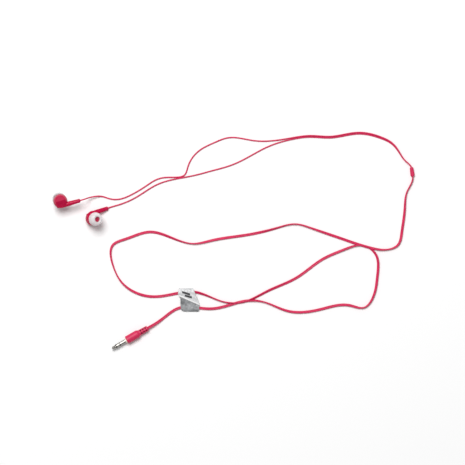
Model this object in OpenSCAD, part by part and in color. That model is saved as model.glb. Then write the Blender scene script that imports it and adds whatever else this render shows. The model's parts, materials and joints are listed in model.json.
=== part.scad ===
// Wired in-ear earphones: two earbuds, a Y-shaped cord with a moulded splitter, and a 3.5 mm stereo plug.
// They lie loose on the plane z = 0. Millimetres throughout.
// The origin is on that plane, below the middle of the two earbuds.

/* [Earbud housing] */
// Outer diameter of the round housing
housing_d = 12.7; // [12.6:0.1:13.4]
// Thickness of the housing's walls
shell_wall = 0.8; // [0.7:0.05:0.85]
// Depth of the flat rear face behind the stem's axis
rear_depth = 6.4; // [6.2:0.1:6.6]
// Slope of the facet that runs from the rear face down to the stem
facet_angle = 40; // [38:1:42]

/* [Stem] */
// Radius of the stem's barrel where it leaves the housing
barrel_r = 2.2; // [2.1:0.05:2.25]
// Radius of the barrel at its far end
barrel_end_r = 1.85; // [1.75:0.05:2]
// Distance from the housing's axis to the end of the stem's boot
stem_len = 17.5; // [17:0.1:18.5]
// Length of the soft boot that stands out of the barrel
boot_len = 3.2; // [2.5:0.1:4]

/* [Nozzle and ear tip] */
// Angle between the nozzle and the housing's axis
nozzle_tilt = 20; // [17:1:22]
// Outer radius of the nozzle's lip
lip_r = 2.35; // [2.25:0.05:2.4]
// Radius of the sound bore
bore_r = 1.6; // [1.4:0.05:1.65]
// Outer radius of the silicone ear tip
tip_r = 6.15; // [5.8:0.05:6.2]

/* [Cords] */
// Diameter of a single cord
single_d = 1.25; // [1.1:0.05:1.25]
// Width of the flat twin cord
twin_w = 2.5; // [2.3:0.1:2.5]
// Thickness of the flat twin cord
twin_t = 1.25; // [1.1:0.05:1.25]

/* [Splitter] */
// Length of the moulded splitter
splitter_len = 8.2; // [7.5:0.1:9]
// Width of the splitter at its trunk end
splitter_w = 3.8; // [3.6:0.1:4]
// Thickness of the splitter between its flats
splitter_t = 3.2; // [3:0.1:3.4]

/* [Plug] */
// Diameter of the plug's handle
handle_d = 7.3; // [7:0.1:8]
// Length of the handle without its strain relief
handle_len = 13.2; // [12.5:0.1:14]
// Length of the slotted strain relief
relief_len = 8.9; // [8.5:0.1:9.5]
// Diameter of the strain relief at the handle
relief_d = 5.4; // [5.2:0.1:5.8]
// Diameter of the standard pin
pin_d = 3.5; // [3.5]
// Length of the standard pin
pin_len = 14; // [14]

/* [Cord wrap] */
// Length of the clear film wrap along the cords
wrap_len = 20; // [16:1:22]
// Width of the wrap across the two runs of cord
wrap_w = 21.4; // [20.6:0.2:22]
// Height of the wrap
wrap_h = 3.5; // [3.4:0.1:4]

/* [Hidden] */
$fn = 48;

// Colours
red_gloss = "crimson";
red_soft = "firebrick";
clear_soft = "whitesmoke";
steel = "silver";
copper = "peru";
dark = "dimgray";
cream = "antiquewhite";

// Small gaps between neighbouring pieces
fit_gap = 0.04;
touch_gap = 0.02;

// Housing, in the earbud's own frame: z runs along the housing's axis towards the ear,
// x runs along the stem, and z = 0 is the height of the stem's axis.
housing_r = housing_d / 2;
cavity_r = housing_r - shell_wall;
parting_z = 1.4;
front_z = 4.4;
front_corner = 1.8;
rear_edge_r = 4.9;
rear_taper_z = -1.6;
spigot_r = cavity_r - 0.05;
spigot_z = 0.6;
barrel_y = 4.3;
nub_x = -4.6;
nub_r = 1.4;
nub_corner = 1.2;
taper_x = 6;
barrel_end_x = stem_len - boot_len;
facet_y = barrel_y - (rear_depth * cos(facet_angle) - barrel_r) / sin(facet_angle);
lead_bore_r = 0.95;
knot_pocket_r = 1.4;
knot_pocket_x = [3, 6.6];
vent_r = 0.3;
vent_x = [-2.4, -1, 0.4];
vent_y = 3.2;

// Stem boot
boot_r = barrel_end_r - 0.05;
boot_tip_r = 1.45;
boot_spigot_r = 1.25;
boot_spigot_len = 3;
lead_r = 0.6;
boot_bore_r = lead_r + touch_gap;

// Nozzle, in its own frame: z runs out along the sound bore
nozzle_at = [-0.6, -1.8, 4.5];
boss_r = [3.3, 2.9];
boss_z = [-2.2, 1];
neck_r = 2.1;
lip_z = [4.7, 5.9];
lip_bevel = 0.3;
mesh_z = 5.45;
mesh_r = 1.84;
mesh_t = 0.2;
mesh_hole_r = 0.24;
damper_z = 1.6;
damper_len = 1.8;

// Ear tip, in the nozzle's frame
tip_bore_r = lip_r + 0.07;
tip_base_z = boss_z[1] + touch_gap;
tip_end_z = 7.9;
tip_mouth_r = 2.9;
tip_skin = 0.5;
skirt_z = 2.8;
skirt_rim_z = 1;
sleeve_r = 3.1;
web_z = 6.2;

// Driver, in the earbud's frame
driver_r = 4.5;
driver_front_z = 2.8;
driver_cover_t = 0.3;
driver_ledge_z = 1.5;
driver_back_z = 0.9;
yoke_r = 3.3;
yoke_wall = 0.55;
yoke_floor_z = -0.6;
yoke_floor_t = 0.6;
magnet_r = 2.2;
magnet_h = 1;
plate_h = 0.4;
coil_r = [2.36, 2.58];
coil_z = [0.55, 1.75];
cone_r = 3.9;
cone_t = 0.08;
dome_rise = 0.35;
board_r = 2.6;
board_t = 0.3;
pad_x = 0.9;
pad_y = 1.6;
pad_r = 0.35;
pad_t = 0.15;
wire_r = 0.14;
knot_x = [3.7, 6.2];
knot_r = 1.2;

// Where the earbuds lie. The left one stands on its ear tip and the right one lies on its back.
left_at = [-18.2, 7.4, 13.13];
left_turn = [177, 1.3, 15.8];
right_at = [11.1, -8.2, 8.56];
right_turn = [-9.3, 22, 19.2];

// Splitter and plug. The splitter's frame has x towards the earbuds, the plug's has x towards the pin's tip.
splitter_at = [301.5, 34.1, splitter_t / 2];
splitter_heading = 98;
splitter_end_r = 1.5;
splitter_top_w = 3.3;
plug_at = [41.9, -119.1, handle_d / 2];
plug_heading = 210;
relief_tip_d = 4.8;
relief_slots = 3;
slot_w = 1.3;
slot_pitch = 2.4;
slot_core_r = 2;
slot_rib = 1;
core_r = 2.3;
core_nose = 1.2;
core_back = -6.5;
contact_r = [pin_d / 2, 1.35, 1.05, 0.75, 0.45];
sleeve_root_r = 1.55;
sleeve_x = [-4, core_nose + 5.5];
ring_x = [-5.5, core_nose + 9.4];
tip_x = [-8, core_nose + pin_len];
band_w = 0.7;
handle_hollow_x = -10;
lead_end_x = -9;

// Free cords. Each row of a twin or pair route is x, y, roll and lift: roll 0 lies flat, 90 stands on edge.
pair_gap = 1.34;
cord_sides = 8;
exit_run = [3, 1];
left_points = [
    [7.6, 10.5, 6.2], [14.1, 11.8, 2.8], [19.6, 11.7, 0.9], [26.6, 9.6, 0.63], [35.6, 9.3, 0.63], [45.6, 13, 0.63],
    [59.6, 21.3, 0.63], [71.6, 28, 0.63], [79.6, 29.1, 0.63], [87.6, 29.2, 0.63], [94.3, 31, 0.63],
    [97.6, 38.6, 0.63], [108.6, 53.9, 0.63], [122.1, 60.9, 0.63], [133.6, 65, 0.63], [157.6, 62.5, 0.63],
    [174.6, 62.4, 0.63]
];
right_points = [
    [31.6, 3.2, 0.75], [38.6, 5.4, 0.63], [50.6, 11, 0.63], [71.6, 23.4, 0.63], [79.6, 26, 0.63],
    [87.6, 27.8, 0.63], [94.6, 29.1, 0.63], [103.6, 30.9, 0.63], [119.6, 35.1, 0.63], [137.6, 40.4, 0.63],
    [153.6, 48.1, 0.63], [169.6, 56.6, 0.63]
];
pair_route = [
    [193.6, 64.6, 0, 0], [208.6, 66.4, 0, 0], [227.6, 65.7, 0, 0], [240.6, 67.7, 0, 0], [253.6, 69.3, 0, 0],
    [273.1, 65.2, 20, 0], [283.6, 59.6, 50, 0], [289.6, 52.2, 75, 0], [295.4, 44.1, 90, 0.1]
];
trunk_route = [
    [296.8, 15.6, 90, 0], [294.9, 1.6, 50, 0], [292.1, -21.4, 10, 0], [288.6, -32.4, 50, 0],
    [280.6, -36.3, 90, 0], [264.6, -35.2, 30, 0], [237.6, -26.7, 0, 0], [208.6, -16.6, 70, 0],
    [195.6, -13.4, 90, 0], [180.6, -16.4, 120, 0], [151.6, -23.2, 180, 0], [119.6, -28.2, 210, 0],
    [101.6, -31.2, 270, 0], [63.6, -20.6, 360, 0], [40.6, -27.1, 375, 0], [29.6, -32.2, 405, 0],
    [30.1, -52.9, 440, 0], [39.6, -68.7, 475, 0], [65.6, -79.4, 540, 0], [104.6, -75.3, 570, 0.4],
    [127.6, -83.4, 630, 0], [146.1, -84.8, 605, 0], [170.6, -74.1, 575, 0], [196.6, -62.1, 555, 0],
    [219.6, -45.7, 540, 0], [239.6, -36.6, 500, 0], [256.6, -32.9, 450, 0], [268.1, -40.4, 400, 0],
    [269.9, -61.4, 380, 0], [266.6, -78.4, 410, 0], [257.6, -89.4, 450, 0], [245.6, -87.5, 385, 0],
    [219.6, -90.6, 370, 0], [187.6, -92.2, 400, 0], [166.6, -84.2, 450, 0], [151.6, -83.1, 390, 0],
    [118.6, -90.4, 360, 0.35], [88.6, -90.1, 360, 0.35], [75.6, -98.7, 360, 0.3], [67.6, -104.3, 360, 1.9]
];

// Wrap
wrap_at = [98.6, -82.4];
film_t = 0.2;
print_t = 0.08;
print_bar = [5.5, 1.1];
print_gap = 1.9;

// Turning and placing points
function turn_x(a, p) = [p.x, p.y * cos(a) - p.z * sin(a), p.y * sin(a) + p.z * cos(a)];
function turn_y(a, p) = [p.x * cos(a) + p.z * sin(a), p.y, p.z * cos(a) - p.x * sin(a)];
function turn_z(a, p) = [p.x * cos(a) - p.y * sin(a), p.x * sin(a) + p.y * cos(a), p.z];
function turned(r, p) = turn_z(r.z, turn_y(r.y, turn_x(r.x, p)));
function unit(v) = v / norm(v);
function flat_side(d) = unit([-d.y, d.x, 0]);

// Corners of a cord's section, w wide between its flats and t thick
function section(w, t) = let (k = 1 / cos(180 / cord_sides))
    [for (j = [0 : cord_sides - 1]) let (b = (j + 0.5) * 360 / cord_sides)
        [k * w / 2 * cos(b), k * t / 2 * sin(b)]];

// Cord routes as rows of [x, y, z, roll]
function edge_height(roll) = max([for (c = section(twin_w, twin_t)) c.x * sin(roll) + c.y * cos(roll)]);
function trunk_row(r) = [r[0], r[1], edge_height(r[2]) + r[3], r[2]];
function along(at, heading, s) = [at.x + s * cos(heading), at.y + s * sin(heading), at.z];
function row_of(p, roll = 0) = [p.x, p.y, p.z, roll];

splitter_top = along(splitter_at, splitter_heading, splitter_len / 2);
splitter_foot = along(splitter_at, splitter_heading, -splitter_len / 2);
plug_back = along(plug_at, plug_heading, -handle_len - relief_len);
trunk_rows = concat(
    [row_of(splitter_foot, 90)],
    [for (r = trunk_route) trunk_row(r)],
    [row_of(plug_back, 360)]
);

// One of the two cords of the pair: side is 1 for the left cord and -1 for the right one
function pair_dir(i) = unit([
    pair_route[min(i + 1, len(pair_route) - 1)][0] - pair_route[max(i - 1, 0)][0],
    pair_route[min(i + 1, len(pair_route) - 1)][1] - pair_route[max(i - 1, 0)][1], 0]);
function pair_point(i, side) = let (r = pair_route[i], n = flat_side(pair_dir(i)), h = side * pair_gap / 2)
    [r[0] + h * cos(r[2]) * n.x, r[1] + h * cos(r[2]) * n.y,
     (single_d + pair_gap * abs(sin(r[2]))) / 2 + h * sin(r[2]) + r[3]];
function single_rows(at, spin, points, side) = let (
    run = side > 0 ? exit_run[0] : exit_run[1],
    mouth = at + turned(spin, [stem_len, barrel_y, 0]),
    out = turned(spin, [1, 0, 0]))
    concat(
        [row_of(mouth), row_of(mouth + run * out)],
        [for (p = points) row_of(p)],
        [for (i = [0 : len(pair_route) - 1]) row_of(pair_point(i, side))],
        [row_of(splitter_top + [0, 0, side * pair_gap / 2])]
    );

// A tube of eight flat sides swept through rows of [x, y, z, roll]
function row_point(r) = [r[0], r[1], r[2]];
function row_dir(rows, i) = unit(
    row_point(rows[min(i + 1, len(rows) - 1)]) - row_point(rows[max(i - 1, 0)]));
function ring(rows, i, dir, w, t) = let (
    side = flat_side(dir),
    up = cross(dir, side),
    a = rows[i][3],
    s = side * cos(a) + up * sin(a),
    u = up * cos(a) - side * sin(a))
    [for (c = section(w, t)) row_point(rows[i]) + c.x * s + c.y * u];
module swept_cord(rows, first_dir, last_dir, w, t) {
    n = len(rows);
    points = [for (i = [0 : n - 1])
        for (p = ring(rows, i, i == 0 ? first_dir : i == n - 1 ? last_dir : row_dir(rows, i), w, t)) p];
    sides = [for (i = [0 : n - 2]) for (j = [0 : cord_sides - 1])
        let (a = i * cord_sides + j, b = i * cord_sides + (j + 1) % cord_sides)
        for (f = [[a, a + cord_sides, b], [b, a + cord_sides, b + cord_sides]]) f];
    start_cap = [[for (j = [0 : cord_sides - 1]) j]];
    end_cap = [[for (j = [cord_sides - 1 : -1 : 0]) (n - 1) * cord_sides + j]];
    polyhedron(points = points, faces = concat(sides, start_cap, end_cap));
}

// Frames
module place_left() {
    translate(left_at) rotate(left_turn) children();
}
module place_right() {
    translate(right_at) rotate(right_turn) children();
}
module nozzle_frame() {
    translate(nozzle_at) rotate([nozzle_tilt, 0, 0]) children();
}
module facet_frame() {
    translate([0, facet_y, -rear_depth]) rotate([facet_angle, 0, 0]) children();
}
module barrel_frame() {
    translate([0, barrel_y, 0]) rotate([0, 90, 0]) children();
}
module splitter_frame() {
    translate(splitter_at) rotate([0, 0, splitter_heading]) children();
}
module plug_frame() {
    translate(plug_at) rotate([0, 0, plug_heading]) children();
}
// Turns a shape that stands on z so that it lies along x
module lying() {
    rotate([0, 90, 0]) children();
}

// Basic shapes
module span_cylinder(r, z) {
    translate([0, 0, z[0]]) cylinder(r = r, h = z[1] - z[0]);
}
module tube(outer, inner, z) {
    difference() {
        span_cylinder(outer, z);
        span_cylinder(inner, [z[0] - 1, z[1] + 1]);
    }
}
// A half outline of a disc from z = 0 up to h, with its lower corner rounded
module rounded_outline(r, h, corner) {
    intersection() {
        union() {
            translate([0, corner]) square([r, h - corner]);
            square([r - corner, h]);
            translate([r - corner, corner]) circle(corner);
        }
        square([r, h]);
    }
}
module rod(a, b, r) {
    d = b - a;
    translate(a)
        rotate([0, acos(d.z / norm(d)), atan2(d.y, d.x)])
            cylinder(r = r, h = norm(d), $fn = 16);
}

// Earbud pieces
module barrel_solid() {
    barrel_frame() rotate_extrude() {
        translate([0, nub_x]) rounded_outline(nub_r, nub_corner + 0.1, nub_corner);
        polygon([
            [0, nub_x + nub_corner], [nub_r, nub_x + nub_corner], [barrel_r, 0], [barrel_r, taper_x],
            [barrel_end_r, barrel_end_x], [0, barrel_end_x]
        ]);
    }
}
module rear_shell() {
    difference() {
        union() {
            difference() {
                rotate_extrude() polygon([
                    [0, -rear_depth], [rear_edge_r - 0.9, -rear_depth],
                    [rear_edge_r - 0.35, 0.2 - rear_depth], [rear_edge_r, 0.7 - rear_depth],
                    [housing_r, rear_taper_z], [housing_r, parting_z], [0, parting_z]
                ]);
                facet_frame()
                    translate([-housing_d, 0, -housing_d]) cube([2 * housing_d, 2 * housing_d, housing_d]);
            }
            barrel_solid();
        }
        difference() {
            rotate_extrude() polygon([
                [0, shell_wall - rear_depth], [rear_edge_r - shell_wall - 0.5, shell_wall - rear_depth],
                [rear_edge_r - shell_wall, shell_wall + 0.5 - rear_depth], [cavity_r, rear_taper_z],
                [cavity_r, barrel_r + 0.1], [0, barrel_r + 0.1]
            ]);
            facet_frame()
                translate([-housing_d, -housing_d, -housing_d])
                    cube([2 * housing_d, 3 * housing_d, housing_d + shell_wall]);
        }
        barrel_frame() {
            span_cylinder(lead_bore_r, [knot_pocket_x[0], stem_len]);
            span_cylinder(knot_pocket_r, knot_pocket_x);
            span_cylinder(boot_spigot_r + touch_gap, [barrel_end_x - boot_spigot_len, stem_len]);
        }
        for (x = vent_x)
            facet_frame() translate([x, vent_y, -1]) cylinder(r = vent_r, h = shell_wall + 2);
    }
}
module front_shell() {
    difference() {
        union() {
            translate([0, 0, front_z]) mirror([0, 0, 1])
                rotate_extrude() rounded_outline(housing_r, front_z - parting_z, front_corner);
            span_cylinder(spigot_r, [spigot_z, parting_z + 0.5]);
            nozzle_frame() {
                translate([0, 0, boss_z[0]])
                    cylinder(r1 = boss_r[0], r2 = boss_r[1], h = boss_z[1] - boss_z[0]);
                span_cylinder(neck_r, [0, lip_z[0] + 0.1]);
                span_cylinder(lip_r, [lip_z[0], lip_z[1] - lip_bevel]);
                translate([0, 0, lip_z[1] - lip_bevel])
                    cylinder(r1 = lip_r, r2 = lip_r - lip_bevel, h = lip_bevel);
            }
        }
        span_cylinder(driver_r + fit_gap, [-2, driver_front_z + touch_gap]);
        span_cylinder(cone_r - 0.2, [0, front_z - 0.7]);
        nozzle_frame() {
            span_cylinder(bore_r, [-2, lip_z[1] + 1]);
            span_cylinder(mesh_r + touch_gap, [mesh_z, lip_z[1] + 1]);
        }
        barrel_frame() rotate_extrude() polygon([
            [0, -housing_d], [nub_r + fit_gap, -housing_d], [nub_r + fit_gap, nub_x + nub_corner],
            [barrel_r + fit_gap, 0], [barrel_r + fit_gap, housing_d], [0, housing_d]
        ]);
    }
}
module stem_boot() {
    barrel_frame() difference() {
        union() {
            span_cylinder(boot_spigot_r, [barrel_end_x - boot_spigot_len + touch_gap, barrel_end_x + 0.1]);
            span_cylinder(boot_r, [barrel_end_x, stem_len - 1]);
            translate([0, 0, stem_len - 1]) cylinder(r1 = boot_r, r2 = boot_tip_r, h = 1);
        }
        span_cylinder(boot_bore_r, [0, stem_len + 1]);
    }
}
module inner_lead() {
    barrel_frame() rotate_extrude() polygon([
        [0, knot_x[0]], [0.7 * knot_r, knot_x[0]], [knot_r, knot_x[0] + 0.5], [knot_r, knot_x[1] - 0.6],
        [lead_r, knot_x[1]], [lead_r, stem_len], [0, stem_len]
    ]);
    for (s = [-1, 1]) {
        start = [knot_x[0] + 0.4, barrel_y - 0.3, -0.3 - 0.2 * s];
        bend = [3.6 + 0.3 * s, 3.3 - 0.3 * s, -1.7];
        pad = [s * pad_x, pad_y, yoke_floor_z - touch_gap - board_t - pad_t - wire_r];
        rod(start, bend + wire_r * unit(bend - start), wire_r);
        rod(bend - wire_r * unit(pad - bend), pad, wire_r);
    }
}
module vent_felt() {
    facet_frame() translate([vent_x[0] - 0.9, vent_y - 1, shell_wall + touch_gap]) cube([4.6, 2, 0.28]);
}
module nozzle_mesh() {
    nozzle_frame() difference() {
        span_cylinder(mesh_r, [mesh_z + touch_gap, mesh_z + mesh_t]);
        for (i = [0 : 6])
            rotate([0, 0, 60 * i]) translate([i == 6 ? 0 : 0.95, 0, mesh_z - 1])
                cylinder(r = mesh_hole_r, h = 2, $fn = 16);
    }
}
module nozzle_damper() {
    nozzle_frame() span_cylinder(bore_r - touch_gap, [damper_z, damper_z + damper_len]);
}
module driver_frame() {
    tube(driver_r, yoke_r + touch_gap, [driver_back_z, driver_ledge_z]);
    tube(driver_r, cone_r + 0.15, [driver_ledge_z, driver_front_z - driver_cover_t - touch_gap]);
}
module driver_yoke() {
    difference() {
        span_cylinder(yoke_r, [yoke_floor_z, driver_ledge_z]);
        span_cylinder(yoke_r - yoke_wall, [yoke_floor_z + yoke_floor_t, driver_ledge_z + 1]);
    }
}
module driver_magnet() {
    base = yoke_floor_z + yoke_floor_t;
    span_cylinder(magnet_r, [base, base + magnet_h]);
}
module driver_top_plate() {
    base = yoke_floor_z + yoke_floor_t + magnet_h;
    span_cylinder(magnet_r, [base, base + plate_h]);
}
module driver_board() {
    back = yoke_floor_z - touch_gap - board_t;
    span_cylinder(board_r, [back, back + board_t]);
    for (s = [-1, 1])
        translate([s * pad_x, pad_y, back - pad_t]) cylinder(r = pad_r, h = pad_t + 0.05, $fn = 24);
}
module driver_cover() {
    difference() {
        span_cylinder(driver_r, [driver_front_z - driver_cover_t, driver_front_z]);
        for (i = [0 : 6])
            rotate([0, 0, 60 * i]) translate([i == 6 ? 0 : 2.3, 0, 0])
                cylinder(r = 0.55, h = driver_front_z + 1, $fn = 24);
    }
}
module diaphragm() {
    dome_base = coil_z[1];
    dome_r = coil_r[1];
    ball_r = (dome_r * dome_r + dome_rise * dome_rise) / (2 * dome_rise);
    tube(cone_r, dome_r, [dome_base, dome_base + cone_t]);
    intersection() {
        span_cylinder(dome_r, [dome_base, dome_base + 1]);
        translate([0, 0, dome_base + dome_rise - ball_r]) difference() {
            sphere(ball_r);
            sphere(ball_r - cone_t);
        }
    }
    tube(dome_r + 0.01, coil_r[0], [dome_base, dome_base + cone_t]);
}
module voice_coil() {
    tube(coil_r[1], coil_r[0], coil_z);
}
module ear_tip() {
    dome = [for (a = [0 : 10 : 90])
        [tip_mouth_r + 0.2 + (tip_r - tip_mouth_r - 0.2) * cos(a),
         skirt_z + (tip_end_z - skirt_z) * sin(a)]];
    inside = [for (a = [60 : -10 : 0])
        [tip_mouth_r + 0.2 + (tip_r - tip_skin - tip_mouth_r - 0.2) * cos(a),
         skirt_z + (web_z - skirt_z) * sin(a) / sin(60)]];
    nozzle_frame() rotate_extrude() polygon(concat(
        [[tip_bore_r, tip_base_z], [tip_bore_r, tip_end_z - 0.5], [tip_mouth_r, tip_end_z]],
        [for (i = [len(dome) - 1 : -1 : 0]) dome[i]],
        [[tip_r - 0.1, skirt_rim_z], [tip_r - tip_skin, skirt_rim_z]],
        [for (i = [len(inside) - 1 : -1 : 0]) inside[i]],
        [[sleeve_r, web_z], [sleeve_r, tip_base_z]]
    ));
}

// Splitter
module splitter() {
    half = splitter_len / 2;
    splitter_frame() intersection() {
        lying() rotate_extrude() polygon([
            [0, -half], [splitter_end_r, -half], [splitter_w / 2, -half + 1], [splitter_w / 2, -half + 2.5],
            [splitter_top_w / 2, half - 1], [splitter_end_r - 0.1, half], [0, half]
        ]);
        cube([splitter_len, splitter_w + 1, splitter_t], center = true);
    }
}

// Plug
module plug_handle() {
    back = -handle_len - relief_len;
    plug_frame() difference() {
        lying() rotate_extrude() polygon([
            [0, 0], [handle_d / 2 - 0.5, 0], [handle_d / 2, -0.5], [handle_d / 2, 1.6 - handle_len],
            [relief_d / 2, -handle_len], [relief_tip_d / 2, back], [0, back]
        ]);
        for (i = [0 : relief_slots - 1])
            translate([-handle_len - 1.4 - i * slot_pitch, 0, 0]) relief_slot_ring();
        lying() span_cylinder(core_r + touch_gap, [handle_hollow_x, 1]);
        translate([back - 1, 0, 0]) lead_block(handle_hollow_x - back + 2, touch_gap);
    }
}
module relief_slot_ring() {
    lying() difference() {
        translate([0, 0, -slot_w]) tube(relief_d, slot_core_r, [0, slot_w]);
        for (a = [0, 90])
            rotate([0, 0, a]) translate([-relief_d, -slot_rib / 2, -2 * slot_w])
                cube([2 * relief_d, slot_rib, 3 * slot_w]);
    }
}
module lead_block(len, gap) {
    translate([0, -twin_w / 2 - gap, -twin_t / 2 - gap]) cube([len, twin_w + 2 * gap, twin_t + 2 * gap]);
}
module plug_core() {
    plug_frame() lying() difference() {
        span_cylinder(core_r, [core_back, core_nose]);
        span_cylinder(sleeve_root_r, [sleeve_x[0], core_nose + 1]);
        span_cylinder(contact_r[2], [ring_x[0], core_nose + 1]);
        span_cylinder(contact_r[4], [core_back - 1, core_nose + 1]);
    }
}
module plug_lead() {
    back = -handle_len - relief_len;
    plug_frame() translate([back, 0, 0]) lead_block(lead_end_x - back, 0);
}
module plug_wires() {
    plug_frame() {
        rod([lead_end_x + 0.1, 0.6, 0], [tip_x[0] + 0.4, 0.45 + wire_r, 0], wire_r);
        rod([lead_end_x + 0.1, -0.6, 0], [core_back - 0.1, -1.6, 0], wire_r);
        rod([lead_end_x + 0.1, 0, 0.4], [core_back - 0.1, 0, 1.7], wire_r);
    }
}
module sleeve_contact() {
    plug_frame() lying() {
        tube(sleeve_root_r, contact_r[1], [sleeve_x[0], core_nose + 0.1]);
        tube(contact_r[0], contact_r[1], [core_nose, sleeve_x[1]]);
    }
}
module ring_contact() {
    plug_frame() lying() {
        tube(contact_r[2], contact_r[3], [ring_x[0], ring_x[1]]);
        tube(contact_r[0], contact_r[2] - 0.01, [sleeve_x[1] + band_w, ring_x[1]]);
    }
}
module tip_contact() {
    start = ring_x[1] + band_w;
    plug_frame() lying() {
        span_cylinder(contact_r[4], [tip_x[0], start + 0.1]);
        rotate_extrude() polygon([
            [0, start], [contact_r[0], start], [contact_r[0], start + 0.4], [1.15, start + 1.3],
            [1.6, start + 2.2], [1.5, start + 2.8], [0.6, tip_x[1]], [0, tip_x[1]]
        ]);
    }
}
module pin_insulators() {
    plug_frame() lying() {
        tube(contact_r[1], contact_r[2], [sleeve_x[0], sleeve_x[1] + 0.1]);
        tube(contact_r[0], contact_r[2], [sleeve_x[1], sleeve_x[1] + band_w]);
        tube(contact_r[3], contact_r[4], [ring_x[0], ring_x[1] + 0.1]);
        tube(contact_r[0], contact_r[4], [ring_x[1], ring_x[1] + band_w]);
    }
}

// Clear film that holds two runs of the trunk cord together
module wrap_section(h, w) {
    for (s = [-1, 1])
        translate([s * (w - h) / 2, 0]) circle(h / 2);
    square([w - h, h], center = true);
}
module cord_wrap() {
    translate([wrap_at.x - wrap_len / 2, wrap_at.y, wrap_h / 2])
        rotate([90, 0, 90]) linear_extrude(wrap_len) difference() {
            wrap_section(wrap_h, wrap_w);
            wrap_section(wrap_h - 2 * film_t, wrap_w - 2 * film_t);
        }
}
module wrap_print() {
    for (i = [0, 1])
        translate([wrap_at.x - print_bar.x / 2, wrap_at.y + i * print_gap, wrap_h])
            cube([print_bar.x - 2 * i, print_bar.y, print_t]);
}

// Cords
module left_cord() {
    rows = single_rows(left_at, left_turn, left_points, 1);
    toward = [-cos(splitter_heading), -sin(splitter_heading), 0];
    swept_cord(rows, turned(left_turn, [1, 0, 0]), toward, single_d, single_d);
}
module right_cord() {
    rows = single_rows(right_at, right_turn, right_points, -1);
    toward = [-cos(splitter_heading), -sin(splitter_heading), 0];
    swept_cord(rows, turned(right_turn, [1, 0, 0]), toward, single_d, single_d);
}
module trunk_cord() {
    away = [-cos(splitter_heading), -sin(splitter_heading), 0];
    into = [cos(plug_heading), sin(plug_heading), 0];
    swept_cord(trunk_rows, away, into, twin_w, twin_t);
}

color(red_gloss) place_left() rear_shell();  // left_rear_shell
color(red_gloss) place_left() front_shell();  // left_front_shell
color(red_soft) place_left() stem_boot();  // left_stem_boot
color(copper) place_left() inner_lead();  // left_inner_lead
color(dark) place_left() vent_felt();  // left_vent_felt
color(steel) place_left() nozzle_mesh();  // left_nozzle_mesh
color(dark) place_left() nozzle_damper();  // left_nozzle_damper
color(dark) place_left() driver_frame();  // left_driver_frame
color(steel) place_left() driver_yoke();  // left_driver_yoke
color(steel) place_left() driver_magnet();  // left_driver_magnet
color(steel) place_left() driver_top_plate();  // left_driver_top_plate
color("darkgreen") place_left() driver_board();  // left_driver_board
color(steel) place_left() driver_cover();  // left_driver_cover
color(cream) place_left() diaphragm();  // left_diaphragm
color(copper) place_left() voice_coil();  // left_voice_coil
color(clear_soft) place_left() ear_tip();  // left_ear_tip
color(red_gloss) place_right() rear_shell();  // right_rear_shell
color(red_gloss) place_right() front_shell();  // right_front_shell
color(red_soft) place_right() stem_boot();  // right_stem_boot
color(copper) place_right() inner_lead();  // right_inner_lead
color(dark) place_right() vent_felt();  // right_vent_felt
color(steel) place_right() nozzle_mesh();  // right_nozzle_mesh
color(dark) place_right() nozzle_damper();  // right_nozzle_damper
color(dark) place_right() driver_frame();  // right_driver_frame
color(steel) place_right() driver_yoke();  // right_driver_yoke
color(steel) place_right() driver_magnet();  // right_driver_magnet
color(steel) place_right() driver_top_plate();  // right_driver_top_plate
color("darkgreen") place_right() driver_board();  // right_driver_board
color(steel) place_right() driver_cover();  // right_driver_cover
color(cream) place_right() diaphragm();  // right_diaphragm
color(copper) place_right() voice_coil();  // right_voice_coil
color(clear_soft) place_right() ear_tip();  // right_ear_tip
color(red_soft) left_cord();
color(red_soft) right_cord();
color(red_gloss) splitter();
color(red_soft) trunk_cord();
color(red_soft) plug_handle();
color(cream) plug_core();
color(red_soft) plug_lead();
color(copper) plug_wires();
color(steel) sleeve_contact();
color(steel) ring_contact();
color(steel) tip_contact();
color("black") pin_insulators();
color(clear_soft, 0.4) cord_wrap();
color("black") wrap_print();
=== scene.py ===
"""Wired in-ear earphones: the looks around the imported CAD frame.

Lengths are in metres, except where a comment says millimetres.
"""

import json
import math

import bpy
import numpy as np
from mathutils import Matrix, Vector


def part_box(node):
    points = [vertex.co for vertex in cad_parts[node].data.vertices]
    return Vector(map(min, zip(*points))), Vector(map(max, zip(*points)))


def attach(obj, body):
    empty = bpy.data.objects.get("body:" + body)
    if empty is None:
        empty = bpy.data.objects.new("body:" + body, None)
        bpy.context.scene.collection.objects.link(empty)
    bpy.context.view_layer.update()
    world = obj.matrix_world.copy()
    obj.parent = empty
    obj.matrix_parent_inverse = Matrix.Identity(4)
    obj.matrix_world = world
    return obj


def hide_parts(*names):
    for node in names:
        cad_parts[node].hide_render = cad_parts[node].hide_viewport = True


MM = 0.001

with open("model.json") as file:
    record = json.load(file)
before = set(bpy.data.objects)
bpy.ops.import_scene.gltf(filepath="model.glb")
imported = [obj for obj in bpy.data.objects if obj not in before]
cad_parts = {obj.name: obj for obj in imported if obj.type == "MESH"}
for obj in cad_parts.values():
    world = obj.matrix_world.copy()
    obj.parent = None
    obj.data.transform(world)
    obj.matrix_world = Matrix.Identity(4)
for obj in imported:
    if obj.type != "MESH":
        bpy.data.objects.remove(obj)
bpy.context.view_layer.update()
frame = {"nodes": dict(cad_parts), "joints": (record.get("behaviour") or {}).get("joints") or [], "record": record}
nodes = frame["nodes"]
joints = {j["name"]: j for j in frame["joints"]}
mounts = {m["name"]: m for m in frame["record"]["mounts"]}

# ---------------------------------------------------------------- camera

VIEW_CENTRE = (0.1382, -0.0211)
VIEW_WIDTH = 0.423
# High enough to leave almost no perspective
CAMERA_HEIGHT = 14.0
SENSOR_WIDTH_MM = 36


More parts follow.
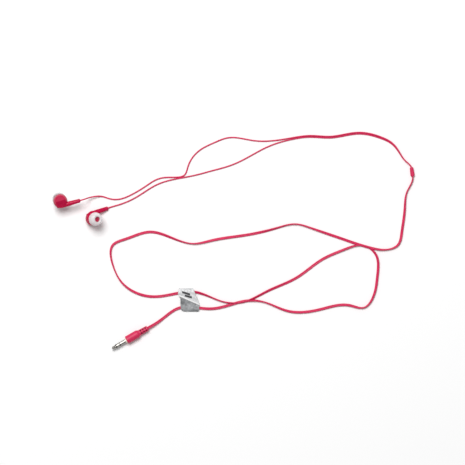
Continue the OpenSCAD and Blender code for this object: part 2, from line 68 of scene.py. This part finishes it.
def add_camera():
    """Looks straight down with a long lens, with +Y up in the picture."""
    data = bpy.data.cameras.new("camera")
    data.sensor_width = SENSOR_WIDTH_MM
    data.lens = SENSOR_WIDTH_MM * CAMERA_HEIGHT / VIEW_WIDTH
    camera = bpy.data.objects.new("camera", data)
    camera.location = (*VIEW_CENTRE, CAMERA_HEIGHT)
    bpy.context.scene.collection.objects.link(camera)
    bpy.context.scene.camera = camera


# ---------------------------------------------------------------- frames taken from the CAD

# Where the stem's boot ends and the magnet's middle lies, in the earbud's own frame
STEM_LEN = 17.5 * MM
BARREL_Y = 4.3 * MM
MAGNET_MID_Z = 0.5 * MM
# Where the mount of the ear tip lies in the nozzle's frame, and the mount of the pin in the plug's
TIP_END_Z = 7.9 * MM
PIN_MID_X = 6.45 * MM


def frame_of(origin, x_axis, z_axis):
    """A matrix with that origin and those two axes."""
    x, z = Vector(x_axis).normalized(), Vector(z_axis).normalized()
    y = z.cross(x)
    m = Matrix((x, y, z)).transposed().to_4x4()
    m.translation = origin
    return m


def bud_frame(side):
    """The earbud's own frame: z along the housing to the ear, x along the stem."""
    axis = Vector(joints[side + "_cone_travel"]["axis"])
    nozzle = Vector(joints[side + "_tip_pull"]["axis"])
    low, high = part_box(side + "_driver_magnet")
    origin = (low + high) / 2 - MAGNET_MID_Z * axis.normalized()
    return frame_of(origin, axis.cross(nozzle), axis)


def nozzle_frame(side):
    """The nozzle's frame: z runs out along the sound bore, and the ear tip's mouth is at TIP_END_Z."""
    nozzle = Vector(joints[side + "_tip_pull"]["axis"]).normalized()
    origin = Vector(mounts[side + "_ear"]["pos_m"]) - TIP_END_Z * nozzle
    stem = bud_frame(side).to_3x3() @ Vector((1, 0, 0))
    return frame_of(origin, stem, nozzle)


def plug_frame():
    """The plug's frame: x runs towards the pin's tip, from the front of the handle."""
    axis = Vector(mounts["audio_plug"]["axis"]).normalized()
    origin = Vector(mounts["audio_plug"]["pos_m"]) - PIN_MID_X * axis
    return frame_of(origin, axis, (0, 0, 1))


# ---------------------------------------------------------------- meshes


def add_mesh(name, points, faces, smooth=True):
    """A new piece in the scene with that mesh."""
    mesh = bpy.data.meshes.new(name)
    mesh.from_pydata([tuple(p) for p in points], [], faces)
    mesh.update()
    mesh.polygons.foreach_set("use_smooth", [smooth] * len(mesh.polygons))
    piece = bpy.data.objects.new(name, mesh)
    bpy.context.scene.collection.objects.link(piece)
    return piece


def tube_faces(rings, sides):
    """Quads between rings of points, with the two ends capped."""
    faces = []
    for i in range(rings - 1):
        for j in range(sides):
            a, b = i * sides + j, i * sides + (j + 1) % sides
            faces.append((a, b, b + sides, a + sides))
    faces.append(tuple(range(sides))[::-1])
    faces.append(tuple((rings - 1) * sides + j for j in range(sides)))
    return faces


def lathe(name, profile, place, segments=96):
    """Turns a closed outline of (radius, z) points about z and puts the solid in place."""
    points, count = [], len(profile)
    for i in range(segments):
        a = 2 * math.pi * i / segments
        points += [place @ Vector((r * math.cos(a), r * math.sin(a), z)) for r, z in profile]
    faces = []
    for i in range(segments):
        for j in range(count):
            k, n = (j + 1) % count, (i + 1) % segments
            faces.append((i * count + j, n * count + j, n * count + k, i * count + k))
    return add_mesh(name, points, faces)


def arc(centre, radii, start, end, count):
    """Points on an ellipse's arc, with angles in degrees."""
    angles = [math.radians(start + (end - start) * i / (count - 1)) for i in range(count)]
    return [(centre[0] + radii[0] * math.cos(a), centre[1] + radii[1] * math.sin(a)) for a in angles]


# ---------------------------------------------------------------- cords

SINGLE_D = 1.25 * MM
TWIN_W = 2.5 * MM
TWIN_T = 1.25 * MM
PAIR_GAP = 1.34 * MM
# The stretch of each single cord that runs straight on from its stem
EXIT_RUN = {"left": 3 * MM, "right": 1 * MM}
SPLITTER_AT = Vector((301.5, 34.1, 1.6)) * MM
SPLITTER_HEADING = math.radians(98)
SPLITTER_LEN = 8.2 * MM
# How far the single cords reach into the splitter
SPLITTER_INSET = 1 * MM
PLUG_BACK_X = -22.1 * MM
RING_STEP = 0.6 * MM
# Rings over which the twin cord's roll and lift are eased
ROLL_EASE = 17
LIFT_EASE = 9

# The routes of part.scad, in millimetres
LEFT_POINTS = [
    (7.6, 10.5, 6.2), (14.1, 11.8, 2.8), (19.6, 11.7, 0.9), (26.6, 9.6, 0.63), (35.6, 9.3, 0.63),
    (45.6, 13, 0.63), (59.6, 21.3, 0.63), (71.6, 28, 0.63), (79.6, 29.1, 0.63), (87.6, 29.2, 0.63),
    (94.3, 31, 0.63), (97.6, 38.6, 0.63), (108.6, 53.9, 0.63), (122.1, 60.9, 0.63), (133.6, 65, 0.63),
    (157.6, 62.5, 0.63), (174.6, 62.4, 0.63),
]
RIGHT_POINTS = [
    (31.6, 3.2, 0.75), (38.6, 5.4, 0.63), (50.6, 11, 0.63), (71.6, 23.4, 0.63), (79.6, 26, 0.63),
    (87.6, 27.8, 0.63), (94.6, 29.1, 0.63), (103.6, 30.9, 0.63), (119.6, 35.1, 0.63), (137.6, 40.4, 0.63),
    (153.6, 48.1, 0.63), (169.6, 56.6, 0.63),
]
# Each row is x, y, roll in degrees and lift: roll 0 lies flat, 90 stands on edge.
PAIR_ROUTE = [
    (193.6, 64.6, 0, 0), (208.6, 66.4, 0, 0), (227.6, 65.7, 0, 0), (240.6, 67.7, 0, 0),
    (253.6, 69.3, 0, 0), (273.1, 65.2, 20, 0), (283.6, 59.6, 50, 0), (289.6, 52.2, 75, 0),
    (295.4, 44.1, 90, 0.1),
]
TRUNK_ROUTE = [
    (296.8, 15.6, 90, 0), (294.9, 1.6, 50, 0), (292.1, -21.4, 10, 0), (288.6, -32.4, 50, 0),
    (280.6, -36.3, 90, 0), (264.6, -35.2, 30, 0), (237.6, -26.7, 0, 0), (208.6, -16.6, 70, 0),
    (195.6, -13.4, 90, 0), (180.6, -16.4, 120, 0), (151.6, -23.2, 180, 0), (119.6, -28.2, 210, 0),
    (101.6, -31.2, 270, 0), (63.6, -20.6, 360, 0), (40.6, -27.1, 375, 0), (29.6, -32.2, 405, 0),
    (30.1, -52.9, 440, 0), (39.6, -68.7, 475, 0), (65.6, -79.4, 540, 0), (104.6, -75.3, 570, 0.4),
    (127.6, -83.4, 630, 0), (146.1, -84.8, 605, 0), (170.6, -74.1, 575, 0), (196.6, -62.1, 555, 0),
    (219.6, -45.7, 540, 0), (239.6, -36.6, 500, 0), (256.6, -32.9, 450, 0), (268.1, -40.4, 400, 0),
    (269.9, -61.4, 380, 0), (266.6, -78.4, 410, 0), (257.6, -89.4, 450, 0), (245.6, -87.5, 385, 0),
    (219.6, -90.6, 370, 0), (187.6, -92.2, 400, 0), (166.6, -84.2, 450, 0), (151.6, -83.1, 390, 0),
    (118.6, -90.4, 360, 0.35), (88.6, -90.1, 360, 0.35), (75.6, -98.7, 360, 0.3), (67.6, -104.3, 360, 1.9),
]


def distances(line):
    """Each point's distance from the first one, measured along the line."""
    return np.concatenate([[0], np.cumsum(np.linalg.norm(np.diff(line, axis=0), axis=1))])


def spline(points, start_dir, end_dir, step):
    """An evenly spaced smooth line through the points, with a set direction at each end.

    Returns it with each place's distance along the knots, and with the knots.
    """
    p = np.array(points, float)
    knots = distances(p)
    n, h = len(p), np.diff(knots)
    a, rhs = np.zeros((n, n)), np.zeros_like(p)
    a[0, 0] = a[-1, -1] = 1
    rhs[0], rhs[-1] = start_dir, end_dir
    for i in range(1, n - 1):
        a[i, i - 1 : i + 2] = h[i], 2 * (h[i] + h[i - 1]), h[i - 1]
        rhs[i] = 3 * (h[i] * (p[i] - p[i - 1]) / h[i - 1] + h[i - 1] * (p[i + 1] - p[i]) / h[i])
    slope = np.linalg.solve(a, rhs)
    fine = np.linspace(0, knots[-1], int(knots[-1] / step) * 2)
    i = np.clip(np.searchsorted(knots, fine, side="right") - 1, 0, n - 2)
    t = ((fine - knots[i]) / h[i])[:, None]
    w = h[i][:, None]
    line = (
        (2 * t**3 - 3 * t**2 + 1) * p[i]
        + (t**3 - 2 * t**2 + t) * w * slope[i]
        + (3 * t**2 - 2 * t**3) * p[i + 1]
        + (t**3 - t**2) * w * slope[i + 1]
    )
    along = distances(line)
    even = np.linspace(0, along[-1], max(2, round(along[-1] / step) + 1))
    at = np.interp(even, along, fine)
    line = np.stack([np.interp(even, along, line[:, k]) for k in range(3)], axis=1)
    return line, at, knots


def eased(values, width):
    """A moving average that leaves the ends as they are."""
    kernel = np.hanning(width + 2)[1:-1]
    kernel /= kernel.sum()
    padded = np.concatenate([np.full(width // 2, values[0]), values, np.full(width // 2, values[-1])])
    return np.convolve(padded, kernel, mode="valid")


def sweep(name, line, rolls, section):
    """A tube of that section along the line. The section's own x lies level at roll 0."""
    step = np.gradient(line, axis=0)
    d = step / np.linalg.norm(step, axis=1)[:, None]
    level = np.stack([-d[:, 1], d[:, 0], np.zeros(len(d))], axis=1)
    level /= np.linalg.norm(level, axis=1)[:, None]
    up = np.cross(d, level)
    c, s = np.cos(rolls)[:, None], np.sin(rolls)[:, None]
    across, over = level * c + up * s, up * c - level * s
    q = np.array(section, float)
    rings = line[:, None, :] + q[None, :, :1] * across[:, None, :] + q[None, :, 1:] * over[:, None, :]
    return add_mesh(name, rings.reshape(-1, 3), tube_faces(len(line), len(q)))


def round_section(d, sides=14):
    """Points round a circle."""
    return [
        (d / 2 * math.cos(2 * math.pi * i / sides), d / 2 * math.sin(2 * math.pi * i / sides))
        for i in range(sides)
    ]


def twin_section(w, t, web=0.56, lobe_points=11):
    """A figure of eight: two round leads side by side, joined by a web thinner than they are."""
    centre, r = (w - t) / 2, t / 2
    right = arc((centre, 0), (r, r), -132, 132, lobe_points)
    left = [(-x, -y) for x, y in right]
    return right + [(0, web * r)] + left + [(0, -web * r)]


def mouth(side):
    """Where the cord leaves the stem, and the direction in which it leaves."""
    m = bud_frame(side)
    return m @ Vector((STEM_LEN, BARREL_Y, 0)), m.to_3x3() @ Vector((1, 0, 0))


def pair_point(i, sign):
    """A point of the left (1) or right (-1) cord where the two lie together."""
    x, y, roll, lift = PAIR_ROUTE[i]
    before, after = PAIR_ROUTE[max(i - 1, 0)], PAIR_ROUTE[min(i + 1, len(PAIR_ROUTE) - 1)]
    d = Vector((after[0] - before[0], after[1] - before[1])).normalized()
    a, half = math.radians(roll), sign * PAIR_GAP / 2
    z = (SINGLE_D + PAIR_GAP * abs(math.sin(a))) / 2 + half * math.sin(a) + lift * MM
    return (x * MM - half * math.cos(a) * d.y, y * MM + half * math.cos(a) * d.x, z)


def single_cord(side, points, sign):
    """The cord of one earbud: on its own at first, then beside the other one into the splitter."""
    start, out = mouth(side)
    heading = Vector((math.cos(SPLITTER_HEADING), math.sin(SPLITTER_HEADING), 0))
    end = SPLITTER_AT + heading * SPLITTER_LEN / 2 + Vector((0, 0, sign * PAIR_GAP / 2))
    route = [start, start + EXIT_RUN[side] * out, *[Vector(p) * MM for p in points]]
    route += [Vector(pair_point(i, sign)) for i in range(len(PAIR_ROUTE))]
    line, _, _ = spline(route + [end - heading * SPLITTER_INSET], out, -heading, RING_STEP)
    line[:, 2] = np.maximum(line[:, 2], SINGLE_D / 2)
    piece = sweep(side + "_lead", line, np.zeros(len(line)), round_section(SINGLE_D))
    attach(piece, "root")
    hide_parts(side + "_cord")
    return piece


def trunk_cord():
    """The flat twin cord, which twists between lying flat and standing on edge. Returns it with its line."""
    heading = Vector((math.cos(SPLITTER_HEADING), math.sin(SPLITTER_HEADING), 0))
    foot = SPLITTER_AT - heading * SPLITTER_LEN / 2
    plug = plug_frame()
    back, into = plug @ Vector((PLUG_BACK_X, 0, 0)), plug.to_3x3() @ Vector((1, 0, 0))
    rows = np.array(TRUNK_ROUTE, float)
    rolls = np.radians(np.concatenate([[90], rows[:, 2], [360]]))
    flat = np.vstack([foot[:2], rows[:, :2] * MM, back[:2]])
    lobe = (TWIN_W - TWIN_T) / 2
    ends = ((foot, rolls[0]), (back, rolls[-1]))
    first, last = [p.z - TWIN_T / 2 - lobe * abs(math.sin(r)) for p, r in ends]
    lifts = np.concatenate([[first], rows[:, 3] * MM, [last]])
    route = np.column_stack([flat, np.zeros(len(flat))])
    line, at, knots = spline(route, -heading, into, RING_STEP)
    roll = eased(np.interp(at, knots, rolls), ROLL_EASE)
    lift = eased(np.interp(at, knots, lifts), LIFT_EASE)
    line[:, 2] = TWIN_T / 2 + lobe * np.abs(np.sin(roll)) + lift
    piece = sweep("twin_cord", line, roll, twin_section(TWIN_W, TWIN_T))
    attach(piece, "root")
    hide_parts("trunk_cord")
    return piece, line, foot


# ---------------------------------------------------------------- materials

GRAIN_DEPTH = 0.02 * MM
# How far the roughness strays to either side
UNEVEN = 0.06


def noise(tree, scale, detail):
    """A noise over the piece's own coordinates."""
    place = tree.nodes.new("ShaderNodeTexCoord")
    made = tree.nodes.new("ShaderNodeTexNoise")
    made.inputs["Scale"].default_value = scale
    made.inputs["Detail"].default_value = detail
    tree.links.new(place.outputs["Object"], made.inputs["Vector"])
    return made.outputs["Fac"]


def spread_over(tree, source, low, high):
    """Maps a noise's middle range to low..high."""
    made = tree.nodes.new("ShaderNodeMapRange")
    made.inputs["From Min"].default_value = 0.3
    made.inputs["From Max"].default_value = 0.7
    made.inputs["To Min"].default_value = low
    made.inputs["To Max"].default_value = high
    tree.links.new(source, made.inputs["Value"])
    return made.outputs["Result"]


def surface(name, color, roughness, tone=0.08, tone_scale=350, grain=0.15, grain_scale=4000, **sockets):
    """A Principled material with two close tones, uneven roughness and a fine grain in the surface."""
    made = bpy.data.materials.new(name)
    made.use_nodes = True
    tree = made.node_tree
    shader = tree.nodes["Principled BSDF"]
    for socket, value in sockets.items():
        shader.inputs[socket.replace("_", " ")].default_value = value
    tones = tree.nodes.new("ShaderNodeMix")
    tones.data_type = "RGBA"
    tones.inputs["A"].default_value = (*[c * (1 - tone) for c in color], 1)
    tones.inputs["B"].default_value = (*[min(1, c * (1 + tone)) for c in color], 1)
    tree.links.new(spread_over(tree, noise(tree, tone_scale, 3), 0, 1), tones.inputs["Factor"])
    tree.links.new(tones.outputs["Result"], shader.inputs["Base Color"])
    rough = spread_over(tree, noise(tree, tone_scale * 3, 2), roughness - UNEVEN, roughness + UNEVEN)
    tree.links.new(rough, shader.inputs["Roughness"])
    bump = tree.nodes.new("ShaderNodeBump")
    bump.inputs["Strength"].default_value = grain
    bump.inputs["Distance"].default_value = GRAIN_DEPTH
    tree.links.new(noise(tree, grain_scale, 2), bump.inputs["Height"])
    tree.links.new(bump.outputs["Normal"], shader.inputs["Normal"])
    return made


RED = (0.5, 0.007, 0.055)
BOOT_RED = (0.5, 0.008, 0.062)
SOFT_RED = (0.62, 0.012, 0.085)
# What surface() is given for each material
MATERIALS = {
    "shell_red": dict(
        color=RED, roughness=0.2, tone=0.04, grain=0.06, Specular_IOR_Level=0.07, Coat_Weight=0.05),
    # The flat rear faces: a rougher finish, and a darker, greyer red that is painted shade and painted reflection
    "cap_matte_painted_shade": dict(color=(0.47, 0.012, 0.06), roughness=0.5, tone=0.05, grain=0.1, Specular_IOR_Level=0.12),
    "boot_red": dict(color=BOOT_RED, roughness=0.45, tone=0.06, grain=0.3, Specular_IOR_Level=0.18),
    "cord_red": dict(color=SOFT_RED, roughness=0.38, tone=0.1, grain=0.25, Specular_IOR_Level=0.3),
    "splitter_red": dict(color=SOFT_RED, roughness=0.42, tone=0.08, grain=0.3, Specular_IOR_Level=0.3),
    "plug_red": dict(color=SOFT_RED, roughness=0.5, tone=0.07, grain=0.4),
    "silicone_clear": dict(color=(0.93, 0.91, 0.92), roughness=0.3, tone=0.03, grain=0.1, Alpha=0.6),
    "mesh_steel": dict(color=(0.62, 0.03, 0.09), roughness=0.35, Metallic=0.4),
    "foam_dark": dict(color=(0.05, 0.05, 0.05), roughness=0.95, grain=0.8, grain_scale=3000),
    "felt_grey": dict(color=(0.4, 0.4, 0.38), roughness=0.95, grain=0.8, grain_scale=6000),
    "driver_plastic": dict(color=(0.03, 0.03, 0.03), roughness=0.5),
    "driver_steel": dict(color=(0.55, 0.55, 0.56), roughness=0.32, Metallic=1),
    "magnet_nickel": dict(color=(0.66, 0.64, 0.6), roughness=0.22, Metallic=1),
    "board_green": dict(color=(0.02, 0.16, 0.06), roughness=0.3),
    "cone_film": dict(color=(0.8, 0.76, 0.62), roughness=0.25, Alpha=0.8),
    "coil_copper": dict(color=(0.72, 0.3, 0.13), roughness=0.3, Metallic=1),
    "core_cream": dict(color=(0.8, 0.74, 0.62), roughness=0.45),
    "contact_nickel": dict(color=(0.4, 0.385, 0.36), roughness=0.34, Metallic=1),
    "insulator_black": dict(color=(0.012, 0.012, 0.012), roughness=0.5, Specular_IOR_Level=0.1),
    "film_clear": dict(color=(0.68, 0.69, 0.7), roughness=0.3, tone=0.12, Alpha=0.8),
    # The film's inner end: a darker grey that is painted shade
    "film_shade": dict(color=(0.31, 0.32, 0.33), roughness=0.3, tone=0.5, tone_scale=190, Alpha=0.8),
    # A near-white painted highlight along the flap's free edge
    "film_edge_painted_highlight": dict(color=(0.98, 0.98, 0.98), roughness=0.25, tone=0.01),
    "print_black": dict(color=(0.03, 0.03, 0.033), roughness=0.5),
    # Painted shade for the floors and sides of the plug's slots
    "slot_painted_shade": dict(color=(0.2, 0.004, 0.02), roughness=0.8),
    "floor_white": dict(color=(0.96, 0.96, 0.96), roughness=0.7, tone=0, grain=0, Specular_IOR_Level=0.2),
}


def dress(piece, *materials):
    """Gives a piece these materials in the place of its own.

    A mesh that this script made has none to clear, and clearing would undo its faces' choices.
    """
    if piece.data.materials:
        piece.data.materials.clear()
    for material in materials:
        piece.data.materials.append(material)


def shade_by_angle(piece, degrees=32):
    """Smooth shading, with the edges sharper than that angle left crisp."""
    mesh = piece.data
    mesh.polygons.foreach_set("use_smooth", [True] * len(mesh.polygons))
    mesh.set_sharp_from_angle(angle=math.radians(degrees))


# ---------------------------------------------------------------- ear tips


def ear_tip(side):
    """A soft silicone tip: a sleeve round the nozzle, turned back at the mouth into a thin flared skirt.

    Its outline is in millimetres.
    """
    bore, base, end = 2.42, 1.02, 7.9
    outer, skin = 6.15, 0.42
    profile = [(bore, base + 0.15), (bore, 3), (bore, 5), (bore, 6.6)]
    profile += arc((bore + 0.72, end - 0.72), (0.72, 0.72), 180, 90, 8)
    profile += arc((3.14, 2.8), (outer - 3.14, end - 2.8), 88, 0, 22)
    profile += [(outer - 0.03, 2.1), (outer - 0.12, 1.4)]
    profile += arc((outer - 0.36, 1.25), (0.22, 0.25), 0, -180, 9)
    profile += [(outer - skin - 0.12, 1.6), (outer - skin - 0.02, 2.2)]
    profile += arc((3.5, 2.8), (outer - skin - 3.5, 3.9), 0, 74, 16)
    profile += arc((3.6, 6.0), (0.45, 0.5), 100, 180, 6)
    profile += [(3.12, 5), (3.08, 3.5), (3.05, 2), (3.0, base + 0.2), (2.85, base), (bore + 0.2, base)]
    piece = lathe(side + "_silicone_tip", [(r * MM, z * MM) for r, z in profile], nozzle_frame(side))
    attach(piece, side + "_tip")
    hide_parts(side + "_ear_tip")
    return piece


# ---------------------------------------------------------------- the clear wrap round two runs of the cord

# All in millimetres, from the middle of the wrap
WRAP_AT = Vector((98.6, -82.4, 0))
# The left and right edges seen from above, as pairs of y and x
WRAP_LEFT = ((-10.6, -4.0), (-9.2, -6.6), (-8.0, -7.6), (1.0, -7.8), (2.5, -8.6), (6.2, -10.2), (10.6, -9.0))
WRAP_RIGHT = ((-10.6, 8.0), (-9.6, 9.3), (-4.0, 9.5), (9.0, 4.6), (10.6, 3.6))
# The loop in section, as y and z: from the inner end, round under the cords, to the start of the outer end
WRAP_LOOP = [
    (1.5, 2.35), (-3, 2.1), (-7.6, 2.15), (-9.9, 1.75), (-10.6, 1.0), (-10, 0.3), (-8.2, 0.07), (-4, 0.05),
    (0, 0.05), (4, 0.05), (8.2, 0.07), (10, 0.3), (10.6, 1.15), (9.9, 2.2), (7.6, 2.8),
]
# The outer end is a flap over the inner one. Its free edge runs aslant, between these two places along y.
FLAP_EDGE = (3.1, -5.0)
FLAP_START = WRAP_LOOP[-1]
FLAP_Z = 2.9
FLAP_ROWS = 13
# Width of the stretch along the free edge that carries a near-white painted highlight
HEM = 1.5
FILM_T = 0.06
FILM_STEP = 0.6


def edge_at(table, y):
    """The x of an edge at that y."""
    ys, xs = zip(*table)
    return float(np.interp(y, ys, xs))


def crease(x, y):
    """Small folds that run aslant over the film."""
    u = 0.45 * x + 0.85 * y + 0.9 * math.sin(0.4 * x)
    v = 1.1 * x - 0.35 * y + 0.8 * math.sin(0.6 * y)
    return 0.16 * (abs(math.sin(u)) - 0.6) + 0.1 * (abs(math.sin(v + 1)) - 0.6)


def film_point(y, z, share):
    """A point of the film at that share of its width."""
    left, right = edge_at(WRAP_LEFT, y), edge_at(WRAP_RIGHT, y)
    x = left + (right - left) * share
    up = min(1, max(0, z - 1) / 1.2)
    return WRAP_AT + Vector((x, y, max(z, FILM_T) + up * crease(x, y)))


def film_wrap(columns=28):
    """A strip of thin film, wound once round the cords, with its ends overlapping on top."""
    loop = np.array([(y, z, 0) for y, z in WRAP_LOOP])
    smooth, _, _ = spline(loop, (-1, -0.05, 0), (-0.95, 0.3, 0), FILM_STEP)
    points, rows = [], len(smooth) + FLAP_ROWS + 1
    for j in range(columns + 1):
        share = j / columns
        end = FLAP_EDGE[0] + (FLAP_EDGE[1] - FLAP_EDGE[0]) * share
        path = [(y, z) for y, z, _ in smooth]
        last_y, last_z = path[-1]
        for k in range(1, FLAP_ROWS + 1):
            f = k / FLAP_ROWS
            rise = (FLAP_Z - last_z) * math.sin(f * math.pi / 2)
            path.append((last_y + (end + HEM - last_y) * f, last_z + rise))
        path.append((end, FLAP_Z - 0.1))
        points += [film_point(y, z, share) * MM for y, z in path]
    faces = []
    for j in range(columns):
        for i in range(rows - 1):
            a, b = j * rows + i, (j + 1) * rows + i
            faces.append((a, a + 1, b + 1, b))
    piece = add_mesh("film_wrap", points, faces)
    # The inner end gets a darker grey, painted shade, as far as where it turns under the cords, and the free edge
    # a near-white painted highlight.
    inner_rows = int(np.argmax(smooth[:, 1] < 1.0))
    for k, face in enumerate(piece.data.polygons):
        row = k % (rows - 1)
        face.material_index = 1 if row < inner_rows else 2 if row == rows - 2 else 0
    body = piece.modifiers.new("film", "SOLIDIFY")
    body.thickness = FILM_T * MM
    body.offset = 0
    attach(piece, "root")
    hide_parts("cord_wrap")
    return piece


# Each bar's left end as x and y, and its length
MARKS = [(-6.2, 6.2, 7.2), (-3.8, 3.2, 6.4)]
MARK_HEIGHT = 1.8
MARK_SLOPE = -0.3
MARK_STEPS = 12
INK_GAP = 0.14
INK_T = 0.02


def film_marks():
    """Plain printed bars on the film's outer end, each a row of small quads that follow its folds."""
    points, faces = [], []
    for x0, y0, length in MARKS:
        first = len(points)
        for i in range(MARK_STEPS + 1):
            x = x0 + length * i / MARK_STEPS
            for k in (0, 1):
                y = y0 + MARK_SLOPE * (x - x0) + k * MARK_HEIGHT
                f = min(1, max(0, (FLAP_START[0] - y) / (FLAP_START[0] - FLAP_EDGE[0])))
                rise = (FLAP_Z - FLAP_START[1]) * math.sin(f * math.pi / 2)
                z = FLAP_START[1] + rise + crease(x, y) + INK_GAP
                points.append((WRAP_AT + Vector((x, y, z))) * MM)
        for i in range(MARK_STEPS):
            a = first + 2 * i
            faces.append((a, a + 2, a + 3, a + 1))
    piece = add_mesh("film_marks", points, faces)
    ink = piece.modifiers.new("ink", "SOLIDIFY")
    ink.thickness = INK_T * MM
    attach(piece, "root")
    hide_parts("wrap_print")
    return piece


# ---------------------------------------------------------------- finish of the CAD pieces

# Widths of the rounded edges in millimetres, by the end of the piece's name
ROUNDED = {
    "rear_shell": 0.12, "front_shell": 0.12, "stem_boot": 0.15, "splitter": 0.35, "plug_handle": 0.18,
    "plug_core": 0.1, "tip_contact": 0.1,
}
# Just in front of the rear face, in the earbud's own frame
CAP_Z = -6.3 * MM
# The stretch of the plug's handle that has slots, and the radius of their floors with a little to spare
RELIEF_X = (PLUG_BACK_X + 0.5 * MM, -13.4 * MM)
SLOT_FLOOR_R = 2.05 * MM


def round_edges(piece, width):
    """Breaks the sharp edges of a CAD piece with a narrow round."""
    edges = piece.modifiers.new("edges", "BEVEL")
    edges.width = width * MM
    edges.segments = 3
    edges.limit_method = "ANGLE"
    edges.angle_limit = math.radians(35)
    edges.harden_normals = True


def mark_cap(piece, material, bud):
    """The flat rear face of a housing gets a rougher, duller finish than the rest, and a darker, greyer red that
    is painted shade and painted reflection.
    """
    piece.data.materials.append(material)
    to_bud = bud.inverted() @ piece.matrix_world
    for face in piece.data.polygons:
        if (to_bud.to_3x3() @ face.normal).z < -0.99 and (to_bud @ face.center).z < CAP_Z:
            face.material_index = 1


def darken_slots(piece, material):
    """The floors and sides of the strain relief's slots get a dark red that is painted shade."""
    piece.data.materials.append(material)
    to_plug = plug_frame().inverted() @ piece.matrix_world
    for face in piece.data.polygons:
        centre = to_plug @ face.center
        normal = to_plug.to_3x3() @ face.normal
        radius = math.hypot(centre.y, centre.z)
        in_slot = abs(normal.x) > 0.9 or radius < SLOT_FLOOR_R
        if RELIEF_X[0] < centre.x < RELIEF_X[1] and in_slot:
            face.material_index = 1


# ---------------------------------------------------------------- stage

FLOOR_HALF = 6
FLOOR_DROP = 0.05 * MM
WORLD_STRENGTH = 0.36
KEY_PLACE = (-0.31, 0.93, 2.3)
KEY_SIZE = 1.1
KEY_POWER = 54


def add_stage(floor_material):
    """A plain pale floor, an even white surround and one soft light."""
    corners = [(x * FLOOR_HALF, y * FLOOR_HALF, 0) for x, y in ((-1, -1), (1, -1), (1, 1), (-1, 1))]
    floor = add_mesh("floor", corners, [(0, 1, 2, 3)], smooth=False)
    floor.location.z = -FLOOR_DROP
    dress(floor, floor_material)
    world = bpy.data.worlds.new("studio")
    world.use_nodes = True
    world.node_tree.nodes["Background"].inputs["Color"].default_value = (1, 1, 1, 1)
    world.node_tree.nodes["Background"].inputs["Strength"].default_value = WORLD_STRENGTH
    bpy.context.scene.world = world
    add_light("key", KEY_PLACE, KEY_SIZE, KEY_POWER)
    bpy.context.scene.view_settings.view_transform = "Standard"


def add_light(name, place, size, power):
    """A square light that faces the middle of the view."""
    data = bpy.data.lights.new(name, "AREA")
    data.size = size
    data.energy = power
    light = bpy.data.objects.new(name, data)
    light.location = place
    towards = Vector((*VIEW_CENTRE, 0)) - light.location
    light.rotation_euler = towards.to_track_quat("-Z", "Y").to_euler()
    bpy.context.scene.collection.objects.link(light)


# ---------------------------------------------------------------- the object

add_camera()
left_lead = single_cord("left", LEFT_POINTS, 1)
right_lead = single_cord("right", RIGHT_POINTS, -1)
twin, twin_line, splitter_foot = trunk_cord()

made = {name: surface(name, **look) for name, look in MATERIALS.items()}
for piece in (left_lead, right_lead, twin):
    dress(piece, made["cord_red"])
for row in frame["record"]["subparts"]:
    name = row["node"]
    dress(nodes[name], made[row["material_slot"]])
    shade_by_angle(nodes[name])
    for ending, width in ROUNDED.items():
        if name.endswith(ending):
            round_edges(nodes[name], width)
for side in ("left", "right"):
    mark_cap(nodes[side + "_rear_shell"], made["cap_matte_painted_shade"], bud_frame(side))
darken_slots(nodes["plug_handle"], made["slot_painted_shade"])
film, marks = film_wrap(), film_marks()
dress(film, made["film_clear"], made["film_shade"], made["film_edge_painted_highlight"])
dress(marks, made["print_black"])
for side in ("left", "right"):
    tip = ear_tip(side)
    dress(tip, made["silicone_clear"])

add_stage(made["floor_white"])
